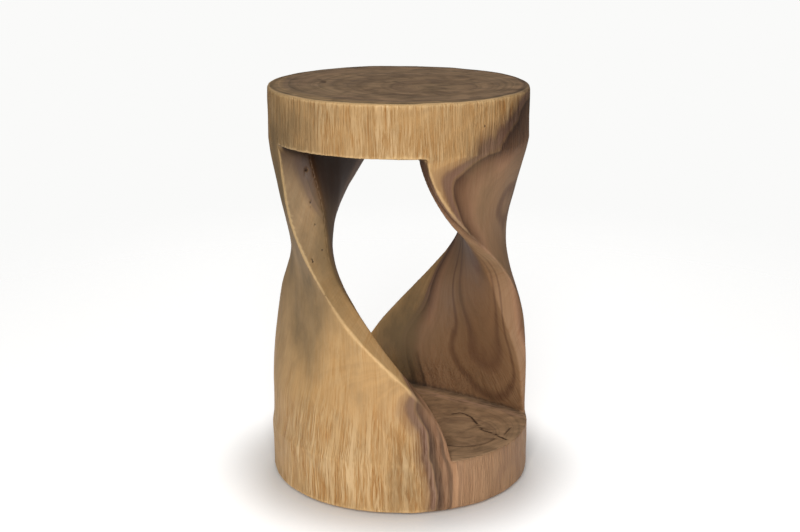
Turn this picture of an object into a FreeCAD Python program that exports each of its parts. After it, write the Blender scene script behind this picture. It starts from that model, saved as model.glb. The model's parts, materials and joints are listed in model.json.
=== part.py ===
import FreeCAD, Part
import os

import Sketcher

# A round stool carved from one log. A thick drum is the seat and another is the
# base. Two legs join them, and both turn about the log's axis as they rise, so
# that a twisted passage runs between them. The timber is divided at its own
# arrises, where the legs meet the drums. Nailed felt glides carry the base.
# Lengths are in millimetres and angles in degrees. +Z is up, the front is
# towards -Y, and the origin is on the floor under the middle of the stool.

# Every size that can be set by itself, with its value
SIZES = (
    ("wood_height", 450),
    ("seat_diameter", 291),
    ("seat_thickness", 57),
    ("seat_rim_round", 2.5),
    ("base_diameter", 299),
    ("base_thickness", 57),
    ("base_foot_round", 4),
    ("leg_facing", 33),
    ("leg_turn", 83),
    ("leg_half_angle", 55),
    ("leg_edge_width", 24),
    ("glide_count", 4),
    ("glide_first_angle", 45),
    ("glide_inset", 12),
    ("cup_diameter", 24),
    ("cup_thickness", 3),
    ("cup_wall", 1.4),
    ("cup_edge_round", 0.8),
    ("felt_thickness", 2.5),
    ("felt_proud", 1.5),
    ("felt_edge_round", 0.5),
    ("felt_clearance", 0.1),
    ("nail_length", 18),
    ("nail_diameter", 2),
    ("nail_point_length", 3),
    ("nail_head_diameter", 6),
    ("nail_head_thickness", 0.8),
    ("nail_clearance", 0.05),
)

# Each leg is drawn as sections across the log. These are their heights, as
# shares of the way from the shelf on the base up to the seat's underside.
HEIGHT_SHARES = (0, 0.07, 0.15, 0.30, 0.45, 0.60, 0.75, 0.90, 1)
# The share of the whole turn that each section has made
TURN_SHARES = (0, 0.05, 0.10, 0.245, 0.41, 0.60, 0.82, 0.955, 1)
# Half the angle that the section takes round the axis, against leg_half_angle
HALF_ANGLE_SHARES = (1, 1.04, 1.025, 0.915, 0.75, 0.715, 0.86, 0.945, 0.945)
# How far out the outer face's front arris, belly and back arris stand, as shares
# of the log's radius. At both ends they are flush with the drums.
FRONT_ARRIS_SHARES = (1, 0.97, 0.945, 0.93, 0.905, 0.92, 0.98, 0.99, 1)
BELLY_SHARES = (1, 0.97, 0.94, 0.885, 0.865, 0.84, 0.85, 0.94, 1)
BACK_ARRIS_SHARES = (1, 0.99, 1, 1.005, 0.98, 0.91, 0.96, 0.985, 1)
# How far out the middle of the inner face stands
INNER_BELLY_SHARES = (0.61, 0.57, 0.53, 0.49, 0.47, 0.52, 0.485, 0.48, 0.44)
# The width of the leg's front and back edge faces, against leg_edge_width. The
# front one broadens towards the seat, and the back one stays narrow.
FRONT_EDGE_SHARES = (0.1, 0.18, 0.27, 0.58, 1, 1.02, 1.5, 1.46, 1.4)
BACK_EDGE_SHARES = (0.1, 0.18, 0.27, 0.58, 1, 0.90, 0.62, 0.45, 0.53)
# How far the edge faces lean towards the middle of the leg, against their width
EDGE_LEAN_SHARE = 0.35

# The two legs, and the half turn about the axis from one to the other
LEGS = (("left_twist_leg", 0), ("right_twist_leg", 180))

# Points nearer than this are one point
TOUCH = 1e-6

# Heights and radii that several pieces share, as expressions on the sheet
GLIDE_HEIGHT = "(Sizes.cup_thickness + Sizes.felt_proud)"
SHELF_HEIGHT = "(%s + Sizes.base_thickness)" % GLIDE_HEIGHT
TOP_HEIGHT = "(%s + Sizes.wood_height)" % GLIDE_HEIGHT
UNDERSIDE_HEIGHT = "(%s - Sizes.seat_thickness)" % TOP_HEIGHT
SEAT_RADIUS = "(Sizes.seat_diameter / 2)"
BASE_RADIUS = "(Sizes.base_diameter / 2)"
CUP_RADIUS = "(Sizes.cup_diameter / 2)"
FELT_ROOM_RADIUS = "(%s - Sizes.cup_wall)" % CUP_RADIUS
FELT_RADIUS = "(%s - Sizes.felt_clearance)" % FELT_ROOM_RADIUS
NAIL_RADIUS = "(Sizes.nail_diameter / 2)"
NAIL_HEAD_RADIUS = "(Sizes.nail_head_diameter / 2)"
NAIL_HOLE_RADIUS = "(%s + Sizes.nail_clearance)" % NAIL_RADIUS
# The nail's head lies on the felt, and its shank stands on the head.
NAIL_HEAD_TOP = "(Sizes.felt_thickness + Sizes.nail_head_thickness)"
NAIL_TIP = "(%s + Sizes.nail_length)" % NAIL_HEAD_TOP
# How far out from the axis each glide is centred
GLIDE_OUT = "(%s - Sizes.glide_inset - %s)" % (BASE_RADIUS, CUP_RADIUS)

doc = FreeCAD.newDocument("TwistedLogStool")
sheet = doc.addObject("Spreadsheet::Sheet", "Sizes")
for row, (alias, value) in enumerate(SIZES, start=1):
    sheet.set("A%d" % row, alias)
    sheet.set("B%d" % row, str(value))
    sheet.setAlias("B%d" % row, alias)
doc.recompute()


def evaluated(expression):
    """The number that an expression on the sheet's values stands for."""
    value = sheet.evalExpression(expression)
    return float(getattr(value, "Value", value))


def new_body(name):
    body = doc.addObject("PartDesign::Body", name)
    body.Label = name
    return body


def origin_feature(body, role):
    """One of the body's own origin planes or axes."""
    return next(feature for feature in body.Origin.OriginFeatures if feature.Role == role)


def new_sketch(body, name, plane="XY_Plane"):
    sketch = body.newObject("Sketcher::SketchObject", name)
    sketch.AttachmentSupport = [(origin_feature(body, plane), "")]
    sketch.MapMode = "FlatFace"
    return sketch


def constrain(sketch, name, kind, *places, to):
    """A named constraint whose value follows an expression."""
    sketch.addConstraint(Sketcher.Constraint(kind, *places, evaluated(to)))
    sketch.renameConstraint(sketch.ConstraintCount - 1, name)
    sketch.setExpression("Constraints." + name, to)


def set_point(sketch, name, point, x, y):
    """Fixes one end of a line at two expressions, or on an axis where one is 0."""
    if x == "0":
        sketch.addConstraint(Sketcher.Constraint("PointOnObject", *point, -2))
    else:
        constrain(sketch, name + "_x", "DistanceX", -1, 1, *point, to=x)
    if y == "0":
        sketch.addConstraint(Sketcher.Constraint("PointOnObject", *point, -1))
    else:
        constrain(sketch, name + "_y", "DistanceY", -1, 1, *point, to=y)


def turned(name, profile):
    """A body turned about the Z axis. The profile is its half section: corners as
    pairs of expressions, for the radius and the height, in order round it."""
    body = new_body(name)
    sketch = new_sketch(body, name + "_profile", "XZ_Plane")
    corners = [FreeCAD.Vector(evaluated(x), evaluated(y), 0) for x, y in profile]
    for corner, following in zip(corners, corners[1:] + corners[:1]):
        sketch.addGeometry(Part.LineSegment(corner, following))
    for line, (x, y) in enumerate(profile):
        before = (line - 1) % len(profile)
        sketch.addConstraint(Sketcher.Constraint("Coincident", before, 2, line, 1))
        set_point(sketch, "corner_%d" % (line + 1), (line, 1), x, y)
    solid = body.newObject("PartDesign::Revolution", name + "_turning")
    solid.Profile = sketch
    solid.ReferenceAxis = (sketch, ["V_Axis"])
    solid.Angle = 360
    doc.recompute()
    return body


def round_edge(body, name, radius, height, rounding):
    """Rounds the round edge that lies at one radius and height."""
    last = body.Tip
    names = []
    for number, edge in enumerate(last.Shape.Edges, start=1):
        curve = edge.Curve
        if not isinstance(curve, Part.Circle):
            continue
        offset = abs(curve.Center.z - evaluated(height)) + abs(curve.Radius - evaluated(radius))
        if offset < TOUCH:
            names.append("Edge%d" % number)
    fillet = body.newObject("PartDesign::Fillet", name)
    fillet.Base = (last, names)
    fillet.setExpression("Radius", rounding)
    doc.recompute()


def seat_drum():
    profile = (
        ("0", UNDERSIDE_HEIGHT),
        (SEAT_RADIUS, UNDERSIDE_HEIGHT),
        (SEAT_RADIUS, TOP_HEIGHT),
        ("0", TOP_HEIGHT),
    )
    body = turned("seat_drum", profile)
    round_edge(body, "seat_rim", SEAT_RADIUS, TOP_HEIGHT, "Sizes.seat_rim_round")
    return body


def base_drum():
    """The base, with a blind hole up into it for each glide's nail."""
    profile = (
        ("0", GLIDE_HEIGHT),
        (BASE_RADIUS, GLIDE_HEIGHT),
        (BASE_RADIUS, SHELF_HEIGHT),
        ("0", SHELF_HEIGHT),
    )
    body = turned("base_drum", profile)
    round_edge(body, "base_foot", BASE_RADIUS, GLIDE_HEIGHT, "Sizes.base_foot_round")

    mouth = new_sketch(body, "nail_hole_mouth")
    mouth.setExpression("AttachmentOffset.Base.z", GLIDE_HEIGHT)
    mouth.setExpression("AttachmentOffset.Rotation.Angle", "Sizes.glide_first_angle")
    centre = FreeCAD.Vector(evaluated(GLIDE_OUT), 0, 0)
    normal = FreeCAD.Vector(0, 0, 1)
    circle = mouth.addGeometry(Part.Circle(centre, normal, evaluated(NAIL_HOLE_RADIUS)))
    set_point(mouth, "centre", (circle, 3), GLIDE_OUT, "0")
    constrain(mouth, "radius", "Radius", circle, to=NAIL_HOLE_RADIUS)
    hole = body.newObject("PartDesign::Pocket", "nail_hole")
    hole.Profile = mouth
    hole.Reversed = True
    hole.setExpression("Length", "%s - %s + Sizes.nail_clearance" % (NAIL_TIP, GLIDE_HEIGHT))
    doc.recompute()

    holes = body.newObject("PartDesign::PolarPattern", "nail_holes")
    holes.Originals = [hole]
    holes.Axis = (origin_feature(body, "Z_Axis"), [""])
    holes.Angle = 360
    holes.setExpression("Occurrences", "Sizes.glide_count")
    body.Tip = holes
    doc.recompute()
    return body


def add_edge_face(sketch, side, arris, inner_corner):
    """A line from an arris in to the inner corner beside it. Each end is given as
    its distance out along X and its distance aside, towards the front or back."""
    sign = 1 if side == "front" else -1
    places = (arris, inner_corner)
    ends = [FreeCAD.Vector(evaluated(out), sign * evaluated(aside), 0) for out, aside in places]
    line = sketch.addGeometry(Part.LineSegment(*ends))
    for end, (out, aside) in enumerate(places, start=1):
        signed_aside = "%d * (%s)" % (sign, aside)
        set_point(sketch, "%s_%d" % (side, end), (line, end), out, signed_aside)
    return line


def add_face_arc(sketch, name, edge_faces, end, belly_out):
    """An arc between the edge faces' ends, through a belly point on the X axis."""
    belly = FreeCAD.Vector(evaluated(belly_out), 0, 0)
    front, back = (sketch.getPoint(line, end) for line in edge_faces)
    arc = sketch.addGeometry(Part.Arc(back, belly, front))
    for line, corner in zip(edge_faces, (front, back)):
        arc_end = 1 if sketch.getPoint(arc, 1).isEqual(corner, TOUCH) else 2
        sketch.addConstraint(Sketcher.Constraint("Coincident", arc, arc_end, line, end))
    point = sketch.addGeometry(Part.Point(belly), True)
    set_point(sketch, name, (point, 1), belly_out, "0")
    sketch.addConstraint(Sketcher.Constraint("PointOnObject", point, 1, arc))


def leg_section(body, number, half_turn):
    """One section across a leg: arcs for its outer and inner faces and lines for
    its edge faces. The sketch's X axis points out through the leg's middle."""
    share = HEIGHT_SHARES[number]
    sketch = new_sketch(body, "%s_section_%d" % (body.Label, number + 1))
    height = "%s + (%s - %s) * %g" % (SHELF_HEIGHT, UNDERSIDE_HEIGHT, SHELF_HEIGHT, share)
    facing = "270 - %g - Sizes.leg_facing - Sizes.leg_turn * %g" % (half_turn, TURN_SHARES[number])
    sketch.setExpression("AttachmentOffset.Base.z", height)
    sketch.setExpression("AttachmentOffset.Rotation.Angle", facing)

    # The log tapers evenly from the base's radius to the seat's.
    log_radius = "(%s * %g + %s * %g)" % (BASE_RADIUS, 1 - share, SEAT_RADIUS, share)
    half_angle = "Sizes.leg_half_angle * %g" % HALF_ANGLE_SHARES[number]
    edge_faces = []
    for side, arris_shares, edge_shares in (
        ("front", FRONT_ARRIS_SHARES, FRONT_EDGE_SHARES),
        ("back", BACK_ARRIS_SHARES, BACK_EDGE_SHARES),
    ):
        edge_width = "Sizes.leg_edge_width * %g" % edge_shares[number]
        out = "%s * %g * cos(%s)" % (log_radius, arris_shares[number], half_angle)
        aside = "%s * %g * sin(%s)" % (log_radius, arris_shares[number], half_angle)
        inner_out = "%s - %s" % (out, edge_width)
        inner_aside = "%s - %s * %g" % (aside, edge_width, EDGE_LEAN_SHARE)
        edge_faces.append(add_edge_face(sketch, side, (out, aside), (inner_out, inner_aside)))
    belly_out = "%s * %g" % (log_radius, BELLY_SHARES[number])
    inner_belly_out = "%s * %g" % (log_radius, INNER_BELLY_SHARES[number])
    add_face_arc(sketch, "belly", edge_faces, 1, belly_out)
    add_face_arc(sketch, "inner_belly", edge_faces, 2, inner_belly_out)
    return sketch


def twist_leg(name, half_turn):
    """A leg, lofted through its sections from the shelf up to the seat."""
    body = new_body(name)
    sections = [leg_section(body, number, half_turn) for number in range(len(HEIGHT_SHARES))]
    doc.recompute()
    loft = body.newObject("PartDesign::AdditiveLoft", name + "_loft")
    loft.Profile = sections[0]
    loft.Sections = sections[1:]
    doc.recompute()
    return body


def place_glide_piece(body, number):
    """Moves a piece turned about Z out to its glide's place under the base."""
    angle = "Sizes.glide_first_angle + 360 * %d / Sizes.glide_count" % number
    body.setExpression("Placement.Base.x", "%s * cos(%s)" % (GLIDE_OUT, angle))
    body.setExpression("Placement.Base.y", "%s * sin(%s)" % (GLIDE_OUT, angle))
    return body


def glide_felt(number):
    """A felt disc, glued into the cup, that stands proud of it on the floor."""
    profile = (
        ("0", "0"),
        (FELT_RADIUS, "0"),
        (FELT_RADIUS, "Sizes.felt_thickness"),
        ("0", "Sizes.felt_thickness"),
    )
    name = "glide_felt_%d" % (number + 1)
    body = turned(name, profile)
    round_edge(body, name + "_edge", FELT_RADIUS, "0", "Sizes.felt_edge_round")
    return place_glide_piece(body, number)


def glide_cup(number):
    """A moulded cup: felt below, the nail's head above it, and a hole for the nail."""
    head_room = "(%s + Sizes.nail_clearance)" % NAIL_HEAD_RADIUS
    profile = (
        (FELT_ROOM_RADIUS, "Sizes.felt_proud"),
        (CUP_RADIUS, "Sizes.felt_proud"),
        (CUP_RADIUS, GLIDE_HEIGHT),
        (NAIL_HOLE_RADIUS, GLIDE_HEIGHT),
        (NAIL_HOLE_RADIUS, NAIL_HEAD_TOP),
        (head_room, NAIL_HEAD_TOP),
        (head_room, "Sizes.felt_thickness"),
        (FELT_ROOM_RADIUS, "Sizes.felt_thickness"),
    )
    name = "glide_cup_%d" % (number + 1)
    body = turned(name, profile)
    round_edge(body, name + "_edge", CUP_RADIUS, "Sizes.felt_proud", "Sizes.cup_edge_round")
    return place_glide_piece(body, number)


def glide_nail(number):
    """A steel nail, driven up through the cup into the base."""
    profile = (
        ("0", "Sizes.felt_thickness"),
        (NAIL_HEAD_RADIUS, "Sizes.felt_thickness"),
        (NAIL_HEAD_RADIUS, NAIL_HEAD_TOP),
        (NAIL_RADIUS, NAIL_HEAD_TOP),
        (NAIL_RADIUS, "%s - Sizes.nail_point_length" % NAIL_TIP),
        ("0", NAIL_TIP),
    )
    return place_glide_piece(turned("glide_nail_%d" % (number + 1), profile), number)


def glide_nails(glides):
    """All the nails, as one group of separate solids."""
    group = doc.addObject("Part::Compound", "glide_nails")
    group.Label = "glide_nails"
    group.Links = [glide_nail(number) for number in glides]
    doc.recompute()
    return group


def check(nodes):
    """Stops if an object failed, or a node isn't made of sound closed solids."""
    for item in doc.Objects:
        if "Invalid" in item.State or "Error" in item.State:
            raise RuntimeError("%s is %s" % (item.Label, item.State))
    for node in nodes:
        shape = node.Shape
        if shape.isNull() or not shape.isValid() or not shape.Solids:
            raise RuntimeError("%s has no sound solid" % node.Label)
        if min(solid.Volume for solid in shape.Solids) <= 0:
            raise RuntimeError("%s has an empty or inverted solid" % node.Label)


glides = range(round(evaluated("Sizes.glide_count")))
nodes = [seat_drum(), base_drum()]
nodes += [twist_leg(name, half_turn) for name, half_turn in LEGS]
nodes += [glide_cup(number) for number in glides]
nodes += [glide_felt(number) for number in glides]
nodes.append(glide_nails(glides))
doc.recompute()
check(nodes)

os.makedirs("parts", exist_ok=True)
for node in nodes:
    node.Shape.exportStep("parts/%s.step" % node.Label)
    print("%s: %d solids, %.0f mm3" % (node.Label, len(node.Shape.Solids), node.Shape.Volume))
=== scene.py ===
# %% [markdown]
# A stool carved from one log. The CAD frame gives its exact sizes: a seat drum, a
# base drum, and two legs that turn about the log's axis as they rise. This script
# dresses that frame. It wraps the four wood nodes in one unbroken skin of timber,
# softens it as a carver's rasp and sander do, and gives it solid wood, so that the
# grain runs through every face. Then it finishes the felt glides under the base.

# %% Load the frame
import json
import math
from functools import partial

import bpy
import numpy as np
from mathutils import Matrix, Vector

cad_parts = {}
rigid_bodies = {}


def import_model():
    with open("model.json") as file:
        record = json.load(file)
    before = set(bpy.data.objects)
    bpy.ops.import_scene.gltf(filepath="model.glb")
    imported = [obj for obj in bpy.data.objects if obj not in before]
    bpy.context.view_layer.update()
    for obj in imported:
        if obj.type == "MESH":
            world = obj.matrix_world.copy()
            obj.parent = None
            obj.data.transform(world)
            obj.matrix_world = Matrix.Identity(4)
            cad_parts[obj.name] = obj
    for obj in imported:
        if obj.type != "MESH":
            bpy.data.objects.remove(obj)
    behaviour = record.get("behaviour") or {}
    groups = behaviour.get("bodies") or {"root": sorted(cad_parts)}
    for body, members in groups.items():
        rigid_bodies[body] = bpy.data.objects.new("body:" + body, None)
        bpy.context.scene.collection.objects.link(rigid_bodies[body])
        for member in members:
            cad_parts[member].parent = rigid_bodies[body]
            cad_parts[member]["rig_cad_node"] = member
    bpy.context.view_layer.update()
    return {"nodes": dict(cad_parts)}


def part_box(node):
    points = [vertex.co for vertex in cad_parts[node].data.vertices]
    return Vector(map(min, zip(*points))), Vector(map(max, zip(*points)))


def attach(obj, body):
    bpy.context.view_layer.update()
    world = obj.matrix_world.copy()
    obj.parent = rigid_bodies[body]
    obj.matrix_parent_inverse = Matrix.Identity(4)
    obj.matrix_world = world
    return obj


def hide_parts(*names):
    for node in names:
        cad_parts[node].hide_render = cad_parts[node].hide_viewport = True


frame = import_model()

MM = 0.001

# %% [markdown]
# The camera is worked out from the photograph's outlines. It stands 1.5 m in front
# of the log's axis and looks down by 16 degrees. Its focal length was found in
# pixels of the photograph, and Blender wants millimetres on the camera's sensor.

# %% Place the camera
PHOTO_WIDTH = 800
FOCAL_PIXELS = 1354.5
CENTRE_COLUMN = 398.6
CAMERA_BACK = 1.4985
CAMERA_HEIGHT = 0.675
CAMERA_PITCH = math.radians(16.06)

bpy.ops.object.camera_add(
    location=(0, -CAMERA_BACK, CAMERA_HEIGHT), rotation=(math.pi / 2 - CAMERA_PITCH, 0, 0)
)
camera = bpy.context.object
camera.name = "photo_camera"
camera.data.sensor_width = 36
camera.data.lens = FOCAL_PIXELS * camera.data.sensor_width / PHOTO_WIDTH
camera.data.shift_x = (PHOTO_WIDTH / 2 - CENTRE_COLUMN) / PHOTO_WIDTH
bpy.context.scene.camera = camera
print("lens, mm:", round(camera.data.lens, 2))


# %% [markdown]
# An operator acts on everything that is selected, and loading the frame leaves all
# its nodes selected. So one helper selects just the objects that a step works on,
# and another adds a modifier and applies it at once, as one does by hand.

# %% Select, and apply modifiers
def select_only(*objects):
    bpy.ops.object.select_all(action="DESELECT")
    for thing in objects:
        thing.select_set(True)
    bpy.context.view_layer.objects.active = objects[0]


def apply_modifier(piece, kind, **settings):
    select_only(piece)
    modifier = piece.modifiers.new(kind.lower(), kind)
    for name, value in settings.items():
        setattr(modifier, name, value)
    bpy.ops.object.modifier_apply(modifier=modifier.name)


# %% [markdown]
# The CAD model divides the timber at its arrises, but the real stool is one log with
# no seam. It could be joined by booleans, which leave slivers where curved faces
# meet. A voxel remesh is surer: the four nodes are copied and joined, their common
# vertices are merged, and the whole is wrapped in one new skin.

# %% Wrap the wood nodes in one skin
WOOD_NODES = ("seat_drum", "base_drum", "left_twist_leg", "right_twist_leg")
MERGE_DISTANCE = 0.01 * MM
VOXEL = 1.5 * MM


def joined_copy(names, new_name):
    """One new object from copies of CAD nodes, which stay as they are."""
    select_only(*[frame["nodes"][name] for name in names])
    bpy.ops.object.duplicate()
    bpy.context.view_layer.objects.active = bpy.context.selected_objects[0]
    bpy.ops.object.join()
    copy = bpy.context.object
    copy.name = copy.data.name = new_name
    # The copy is a new piece, so it loses the CAD node's mark and parent.
    del copy["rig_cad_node"]
    copy.parent = None
    copy.data.materials.clear()
    return copy


log = joined_copy(WOOD_NODES, "carved_log")
select_only(log)
bpy.ops.object.mode_set(mode="EDIT")
bpy.ops.mesh.select_all(action="SELECT")
bpy.ops.mesh.remove_doubles(threshold=MERGE_DISTANCE)
bpy.ops.object.mode_set(mode="OBJECT")
apply_modifier(log, "REMESH", mode="VOXEL", voxel_size=VOXEL)
print("skin vertices:", len(log.data.vertices))


# %% [markdown]
# Carving leaves no sharp inner corner: under the seat the gouge and rasp leave a cove
# about a finger wide, and a smaller one round the shelf. A smoothed copy of the skin
# stands outside the real one in every hollow, and inside it at every arris. So moving
# the skin out to the smoothed copy fills the hollows and leaves the arrises crisp.

# %% Read and move vertices in bulk
def read_vectors(items, name):
    flat = np.empty(len(items) * 3, np.float32)
    items.foreach_get(name, flat)
    return flat.reshape(-1, 3).astype(float)


def places(piece):
    return read_vectors(piece.data.vertices, "co")


def normals(piece):
    return read_vectors(piece.data.vertex_normals, "vector")


def move_to(piece, new_places):
    piece.data.vertices.foreach_set("co", new_places.astype(np.float32).ravel())
    piece.data.update()


def modified_places(piece, kind, **settings):
    """Where the vertices would be if a modifier were applied."""
    modifier = piece.modifiers.new("trial", kind)
    for name, value in settings.items():
        setattr(modifier, name, value)
    evaluated = piece.evaluated_get(bpy.context.evaluated_depsgraph_get())
    moved = places(evaluated)
    piece.modifiers.remove(modifier)
    return moved


def smoothed_places(piece, width):
    """Where the vertices go if all that is narrower than this width is smoothed."""
    # A round smooths over half a voxel, and the width grows with the rounds' root.
    rounds = max(1, round(4 * (width / VOXEL) ** 2))
    return modified_places(piece, "SMOOTH", factor=0.5, iterations=rounds)


def stands_out(piece, width):
    """How far each vertex stands out from its smoothed place: above zero on an
    arris, and below zero in a hollow."""
    return ((places(piece) - smoothed_places(piece, width)) * normals(piece)).sum(axis=1)


def ramp(values, start, end):
    """From 0 at the start to 1 at the end, with soft ends."""
    share = np.clip((values - start) / (end - start), 0, 1)
    return share * share * (3 - 2 * share)


# %% [markdown]
# The cove under the seat is wider than the one round the shelf, so two widths are
# blended low on the legs. A second pass fills what the first one leaves.

# %% Fill the inner corners
SEAT_COVE = 6.5 * MM
SHELF_COVE = 3.5 * MM
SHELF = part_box("left_twist_leg")[0].z
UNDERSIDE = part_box("left_twist_leg")[1].z
WIDE_COVE_FROM = (SHELF + 60 * MM, SHELF + 120 * MM)

# First the steps that the voxels left are smoothed away.
apply_modifier(log, "SMOOTH", factor=0.5, iterations=2)
wide_cove = ramp(places(log)[:, 2], *WIDE_COVE_FROM)
for number in (1, 2):
    hollow = stands_out(log, SEAT_COVE) * wide_cove + stands_out(log, SHELF_COVE) * (1 - wide_cove)
    move_to(log, places(log) - normals(log) * np.minimum(hollow, 0)[:, None])
    print("pass", number, "fills up to, mm:", round(-hollow.min() / MM, 2))

# %% [markdown]
# The front edge face of each leg is broad under the seat, and the carver rolled its
# inner corner over with a rasp, where the arris along the outside stays crisp. That
# corner lies well inside the log's round, so the skin moves to a widely smoothed copy
# wherever it is an arris, high on the leg, and away from the log's surface.

# %% Roll the inner corners of the legs
CORNER_WIDTH = 11 * MM
LOG_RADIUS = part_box("base_drum")[1].x
HIGH_ON_LEG = (SHELF + 150 * MM, SHELF + 220 * MM)
NEAR_OUTSIDE = (LOG_RADIUS - 28 * MM, LOG_RADIUS - 20 * MM)
NEAR_SEAT = (UNDERSIDE - 12 * MM, UNDERSIDE - 2 * MM)


def radius_at(points):
    return np.hypot(points[:, 0], points[:, 1])


here = places(log)
high = ramp(here[:, 2], *HIGH_ON_LEG)
inside = 1 - ramp(radius_at(here), *NEAR_OUTSIDE)
below_seat = 1 - ramp(here[:, 2], *NEAR_SEAT)
smooth = smoothed_places(log, CORNER_WIDTH)
rolled = np.maximum(((here - smooth) * normals(log)).sum(axis=1), 0) * high * inside * below_seat
move_to(log, here - normals(log) * rolled[:, None])
print("most taken off a corner, mm:", round(rolled.max() / MM, 2))

# %% [markdown]
# A hand-carved base isn't quite round. In the photograph its foot stands about 2 mm
# further out at the right and further in at the left, so it is moved out most at the
# front right. The shelf is a little dished as well. Both are smooth moves of the
# vertices, strongest at the foot and in the middle of the dish.

# %% Shape by hand: an uneven foot and a dished shelf
FOOT_SHIFT = 2.3 * MM
FOOT_SHIFT_ANGLE = math.radians(48)
FOOT_BULGE = 1.6 * MM
FOOT_BULGE_WIDTH = math.radians(32)
FOOT_FADES = (30 * MM, 120 * MM)
SHELF_DISH = 1.6 * MM
DISH_RADIUS = 62 * MM
DISH_CENTRE = np.array((62, -55)) * MM
SHELF_BAND = 6 * MM
LEVEL = (0.7, 0.95)

here = places(log)
angle = np.arctan2(here[:, 0], -here[:, 1]) - FOOT_SHIFT_ANGLE
angle = (angle + math.pi) % (2 * math.pi) - math.pi
away_from_axis = here[:, :2] / np.maximum(radius_at(here), MM)[:, None]
near_foot = 1 - ramp(here[:, 2], *FOOT_FADES)
share_out = radius_at(here) / LOG_RADIUS
bulge = FOOT_SHIFT * np.cos(angle) + FOOT_BULGE * np.exp(-((angle / FOOT_BULGE_WIDTH) ** 2))
here[:, :2] += away_from_axis * (bulge * near_foot * share_out)[:, None]
print("most moved out at the foot, mm:", round((bulge * near_foot * share_out).max() / MM, 2))


def dish_depth(plan):
    """How far the dished shelf lies below its CAD height, at places in plan."""
    return SHELF_DISH * (1 - ramp(np.hypot(*(plan - DISH_CENTRE).T), 0, DISH_RADIUS))


on_shelf = ramp(normals(log)[:, 2], *LEVEL) * (np.abs(here[:, 2] - SHELF) < SHELF_BAND)
here[:, 2] -= dish_depth(here[:, :2]) * on_shelf
move_to(log, here)


# %% [markdown]
# The legs were shaped by eye with a rasp, so their faces wander a little, in waves of
# a few centimetres. The drums were only sawn round, and there the saw tore the
# fibres and left fine ridges along the grain. Both come from a cloud texture through
# a displace modifier. An empty that is stretched along the log stretches the ridges.

# %% Make the surface uneven
RASP_WAVE = 45 * MM
RASP_DEPTH = 1.6 * MM
TORN_RIDGE = 4 * MM
TORN_DEPTH = 0.9 * MM
TORN_STRETCH = 12
BASE_SIDE_ENDS = (58 * MM, 84 * MM)
SEAT_SIDE_STARTS = (388 * MM, 400 * MM)
TURNS_TO_SIDE = (0.3, 0.7)


def uneven_places(piece, bump_size, depth, stretch=1):
    """Where the vertices go if the surface gets bumps of this size and depth."""
    texture = bpy.data.textures.new("unevenness", "CLOUDS")
    texture.noise_scale = bump_size
    texture.noise_depth = 1
    grain = bpy.data.objects.new("grain_direction", None)
    bpy.context.collection.objects.link(grain)
    grain.scale = (1, 1, stretch)
    bpy.context.view_layer.update()
    moved = modified_places(
        piece, "DISPLACE", texture=texture, texture_coords="OBJECT",
        texture_coords_object=grain, mid_level=0.5, strength=depth,
    )
    bpy.data.objects.remove(grain)
    return moved


def on_drum_sides(piece):
    """1 on the sides of the two drums, and 0 on the legs between them."""
    heights = places(piece)[:, 2]
    on_drums = (1 - ramp(heights, *BASE_SIDE_ENDS)) + ramp(heights, *SEAT_SIDE_STARTS)
    return on_drums * (1 - ramp(np.abs(normals(piece)[:, 2]), *TURNS_TO_SIDE))


here = places(log)
carved = uneven_places(log, RASP_WAVE, RASP_DEPTH) - here
torn = uneven_places(log, TORN_RIDGE, TORN_DEPTH, TORN_STRETCH) - here
move_to(log, here + carved + torn * on_drum_sides(log)[:, None])
print("the rasp moved a vertex by up to, mm:", round(np.abs(carved).max() / MM, 2))

# %% [markdown]
# Wear and painted shade follow the shape: hands polish the arrises pale, and shade is
# painted into the hollows. The material reads both from attributes, which are measured
# here, while the skin is still evenly fine. Then the skin is thinned where it is flat,
# which keeps its attributes and its shape.

# %% Measure wear, and the hollows for painted shade, then thin the mesh
WEAR_WIDTH = 3.2 * MM
CREASE_WIDTH = 7 * MM
MOST_TRIANGLES = 165000


def keep_attribute(piece, name, values):
    attribute = piece.data.attributes.new(name, "FLOAT", "POINT")
    attribute.data.foreach_set("value", values.astype(np.float32))


def triangle_count(piece):
    return len(piece.data.loops) - 2 * len(piece.data.polygons)


keep_attribute(log, "worn", np.clip(stands_out(log, WEAR_WIDTH) / MM, 0, 2))
# How deep each hollow is, for the shade that is painted into it.
keep_attribute(log, "crease_painted_shade", np.clip(-stands_out(log, CREASE_WIDTH) / MM, 0, 2))
print("triangles before:", triangle_count(log))
apply_modifier(log, "DECIMATE", ratio=min(1, MOST_TRIANGLES / triangle_count(log)))
print("triangles after:", triangle_count(log))

# %% [markdown]
# Last come the flaws that a carver can't avoid: a drying crack across the shelf with
# a side crack, a shake, where the wood parted along a ring, and the small round holes
# of pin knots. Each is a path in space. The shelf's paths are given in plan, and lie
# on its dish.

# %% Where the flaws are
CRACK = (
    (63.7, -1.2), (73.1, 1.9), (79.4, -2.7), (86.1, -12.3), (92.3, -32.3),
    (96.7, -47.5), (101.8, -52.4), (109.0, -58.3), (114.2, -67.5), (122.1, -77.2),
)
SIDE_CRACK = ((120.9, -62.8), (126.0, -50.9), (130.0, -43.5))
SHAKE_CENTRE = (72.5, -56)
SHAKE_RADIUS = 40
SHAKE_DEGREES = range(-115, -20, 6)
# Each pin knot has its place and the radius of its hole, in mm.
PIN_KNOTS = (
    (-99.3, -71.7, 371.3, 1.5),
    (-95.1, -77.6, 337.2, 0.8),
    (-94.5, -78.2, 332.0, 0.8),
    (-90.3, -81.1, 313.7, 0.7),
    (-82.4, -84.7, 286.1, 0.8),
    (-79.7, -86.1, 277.5, 0.7),
    (-92.4, -91.8, 274.6, 0.7),
    (89.2, -115.0, 427.1, 0.8),
    (-82.0, 8.9, 454.5, 1.6),
)
DEPTH_PER_RADIUS = 1.5


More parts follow.
